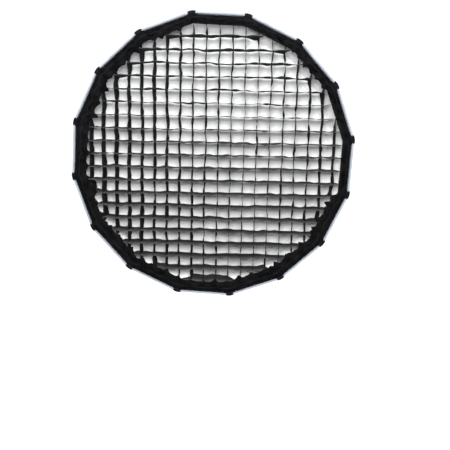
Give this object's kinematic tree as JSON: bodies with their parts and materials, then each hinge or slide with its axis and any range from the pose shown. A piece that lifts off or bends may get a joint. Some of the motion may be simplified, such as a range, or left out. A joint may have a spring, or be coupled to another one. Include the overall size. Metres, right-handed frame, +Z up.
{
  "type": "folding softbox with egg-crate grid",
  "caption": "Deep folding softbox with a many-sided rim, hinged ribs, recessed diffuser, fabric egg-crate grid and turning bayonet hub.",
  "frame": {"origin": "centre of the lamp adapter's seat face, on the optical axis", "axes": "+Y along the optical axis back to the lamp, -Y the way the light goes, +Z up"},
  "size_m": [0.8874, 0.492, 0.8874],
  "materials": {
    "black_cloth": "woven black nylon, silver lining",
    "grid_cloth": "black ripstop strips",
    "white_cloth": "translucent white diffusion cloth",
    "light_binding": "light grey woven binding",
    "hub_metal": "satin black anodised",
    "adapter_metal": "satin machined",
    "steel": "zinc plated",
    "rod": "pultruded glass fibre, dark",
    "plastic": "moulded black nylon plastic",
    "button": "red moulded plastic"
  },
  "bodies": {
    "adapter": {"adapter_ring": "adapter_metal"},
    "hub": {"hub_rear": "hub_metal", "hub_front": "hub_metal", "hub_screws": "steel", "hinge_pins": "steel", "inner_diffuser": "white_cloth"},
    "lock": {"lock_knob": "plastic"},
    "button": {"release_button": "button"},
    "rim": {"front_flap": "black_cloth", "edge_binding": "light_binding"},
    "diffuser": {"front_diffuser": "white_cloth"},
    "grid": {"grid": "grid_cloth"},
    "rib_00": {"rib_rod_00": "rod", "rib_foot_00": "plastic", "shell_panel_00": "black_cloth"},
    "rib_01": {"rib_rod_01": "rod", "rib_foot_01": "plastic", "shell_panel_01": "black_cloth"},
    "rib_02": {"rib_rod_02": "rod", "rib_foot_02": "plastic", "shell_panel_02": "black_cloth"},
    "rib_03": {"rib_rod_03": "rod", "rib_foot_03": "plastic", "shell_panel_03": "black_cloth"},
    "rib_04": {"rib_rod_04": "rod", "rib_foot_04": "plastic", "shell_panel_04": "black_cloth"},
    "rib_05": {"rib_rod_05": "rod", "rib_foot_05": "plastic", "shell_panel_05": "black_cloth"},
    "rib_06": {"rib_rod_06": "rod", "rib_foot_06": "plastic", "shell_panel_06": "black_cloth"},
    "rib_07": {"rib_rod_07": "rod", "rib_foot_07": "plastic", "shell_panel_07": "black_cloth"},
    "rib_08": {"rib_rod_08": "rod", "rib_foot_08": "plastic", "shell_panel_08": "black_cloth"},
    "rib_09": {"rib_rod_09": "rod", "rib_foot_09": "plastic", "shell_panel_09": "black_cloth"},
    "rib_10": {"rib_rod_10": "rod", "rib_foot_10": "plastic", "shell_panel_10": "black_cloth"},
    "rib_11": {"rib_rod_11": "rod", "rib_foot_11": "plastic", "shell_panel_11": "black_cloth"},
    "rib_12": {"rib_rod_12": "rod", "rib_foot_12": "plastic", "shell_panel_12": "black_cloth"},
    "rib_13": {"rib_rod_13": "rod", "rib_foot_13": "plastic", "shell_panel_13": "black_cloth"},
    "rib_14": {"rib_rod_14": "rod", "rib_foot_14": "plastic", "shell_panel_14": "black_cloth"},
    "rib_15": {"rib_rod_15": "rod", "rib_foot_15": "plastic", "shell_panel_15": "black_cloth"}
  },
  "joints": [
    {"name": "hub_turn", "type": "hinge", "parent": "adapter", "child": "hub", "pos_m": [0, 0, 0], "axis": [0, 1, 0], "continuous": true},
    {"name": "lock_turn", "type": "hinge", "parent": "hub", "child": "lock", "pos_m": [0, -0.011, 0], "axis": [0, 0, -1], "range_deg": [0, 180]},
    {"name": "button_press", "type": "slide", "parent": "hub", "child": "button", "axis": [0, 0, -1], "range_m": [0, 0.003], "stiffness_N_per_m": 400, "springref_m": -0.004},
    {"name": "rib_fold", "type": "hinge", "parent": "hub", "child": "rib_00", "pos_m": [0.08631, -0.016, 0.01717], "axis": [0.1951, 0, -0.9808], "range_deg": [0, 37], "deforming": ["shell_panel_00", "front_flap", "edge_binding", "front_diffuser", "grid", "inner_diffuser"]},
    {"name": "rib_fold_01", "type": "hinge", "parent": "hub", "child": "rib_01", "pos_m": [0.07317, -0.016, 0.04889], "axis": [0.5556, 0, -0.8315], "range_deg": [0, 37], "deforming": ["shell_panel_01"]},
    {"name": "rib_fold_02", "type": "hinge", "parent": "hub", "child": "rib_02", "pos_m": [0.04889, -0.016, 0.07317], "axis": [0.8315, 0, -0.5556], "range_deg": [0, 37], "deforming": ["shell_panel_02"]},
    {"name": "rib_fold_03", "type": "hinge", "parent": "hub", "child": "rib_03", "pos_m": [0.01717, -0.016, 0.08631], "axis": [0.9808, 0, -0.1951], "range_deg": [0, 37], "deforming": ["shell_panel_03"]},
    {"name": "rib_fold_04", "type": "hinge", "parent": "hub", "child": "rib_04", "pos_m": [-0.01717, -0.016, 0.08631], "axis": [0.9808, 0, 0.1951], "range_deg": [0, 37], "deforming": ["shell_panel_04"]},
    {"name": "rib_fold_05", "type": "hinge", "parent": "hub", "child": "rib_05", "pos_m": [-0.04889, -0.016, 0.07317], "axis": [0.8315, 0, 0.5556], "range_deg": [0, 37], "deforming": ["shell_panel_05"]},
    {"name": "rib_fold_06", "type": "hinge", "parent": "hub", "child": "rib_06", "pos_m": [-0.07317, -0.016, 0.04889], "axis": [0.5556, 0, 0.8315], "range_deg": [0, 37], "deforming": ["shell_panel_06"]},
    {"name": "rib_fold_07", "type": "hinge", "parent": "hub", "child": "rib_07", "pos_m": [-0.08631, -0.016, 0.01717], "axis": [0.1951, 0, 0.9808], "range_deg": [0, 37], "deforming": ["shell_panel_07"]},
    {"name": "rib_fold_08", "type": "hinge", "parent": "hub", "child": "rib_08", "pos_m": [-0.08631, -0.016, -0.01717], "axis": [-0.1951, 0, 0.9808], "range_deg": [0, 37], "deforming": ["shell_panel_08"]},
    {"name": "rib_fold_09", "type": "hinge", "parent": "hub", "child": "rib_09", "pos_m": [-0.07317, -0.016, -0.04889], "axis": [-0.5556, 0, 0.8315], "range_deg": [0, 37], "deforming": ["shell_panel_09"]},
    {"name": "rib_fold_10", "type": "hinge", "parent": "hub", "child": "rib_10", "pos_m": [-0.04889, -0.016, -0.07317], "axis": [-0.8315, 0, 0.5556], "range_deg": [0, 37], "deforming": ["shell_panel_10"]},
    {"name": "rib_fold_11", "type": "hinge", "parent": "hub", "child": "rib_11", "pos_m": [-0.01717, -0.016, -0.08631], "axis": [-0.9808, 0, 0.1951], "range_deg": [0, 37], "deforming": ["shell_panel_11"]},
    {"name": "rib_fold_12", "type": "hinge", "parent": "hub", "child": "rib_12", "pos_m": [0.01717, -0.016, -0.08631], "axis": [-0.9808, 0, -0.1951], "range_deg": [0, 37], "deforming": ["shell_panel_12"]},
    {"name": "rib_fold_13", "type": "hinge", "parent": "hub", "child": "rib_13", "pos_m": [0.04889, -0.016, -0.07317], "axis": [-0.8315, 0, -0.5556], "range_deg": [0, 37], "deforming": ["shell_panel_13"]},
    {"name": "rib_fold_14", "type": "hinge", "parent": "hub", "child": "rib_14", "pos_m": [0.07317, -0.016, -0.04889], "axis": [-0.5556, 0, -0.8315], "range_deg": [0, 37], "deforming": ["shell_panel_14"]},
    {"name": "rib_fold_15", "type": "hinge", "parent": "hub", "child": "rib_15", "pos_m": [0.08631, -0.016, -0.01717], "axis": [-0.1951, 0, -0.9808], "range_deg": [0, 37], "deforming": ["shell_panel_15"]},
    {"name": "rim_slide", "type": "slide", "parent": "hub", "child": "rim", "axis": [0, -1, 0], "range_m": [0, 0.118]},
    {"name": "diffuser_off", "type": "slide", "parent": "rim", "child": "diffuser", "axis": [0, -1, 0], "range_m": [0, 0.15]},
    {"name": "grid_off", "type": "slide", "parent": "diffuser", "child": "grid", "axis": [0, -1, 0], "range_m": [0, 0.15]}
  ],
  "couplings": [
    {"joint": "rib_fold_01", "follows": "rib_fold", "ratio": 1},
    {"joint": "rib_fold_02", "follows": "rib_fold", "ratio": 1},
    {"joint": "rib_fold_03", "follows": "rib_fold", "ratio": 1},
    {"joint": "rib_fold_04", "follows": "rib_fold", "ratio": 1},
    {"joint": "rib_fold_05", "follows": "rib_fold", "ratio": 1},
    {"joint": "rib_fold_06", "follows": "rib_fold", "ratio": 1},
    {"joint": "rib_fold_07", "follows": "rib_fold", "ratio": 1},
    {"joint": "rib_fold_08", "follows": "rib_fold", "ratio": 1},
    {"joint": "rib_fold_09", "follows": "rib_fold", "ratio": 1},
    {"joint": "rib_fold_10", "follows": "rib_fold", "ratio": 1},
    {"joint": "rib_fold_11", "follows": "rib_fold", "ratio": 1},
    {"joint": "rib_fold_12", "follows": "rib_fold", "ratio": 1},
    {"joint": "rib_fold_13", "follows": "rib_fold", "ratio": 1},
    {"joint": "rib_fold_14", "follows": "rib_fold", "ratio": 1},
    {"joint": "rib_fold_15", "follows": "rib_fold", "ratio": 1},
    {"joint": "rim_slide", "follows": "rib_fold", "m_per_rad": 0.18211}
  ]
}
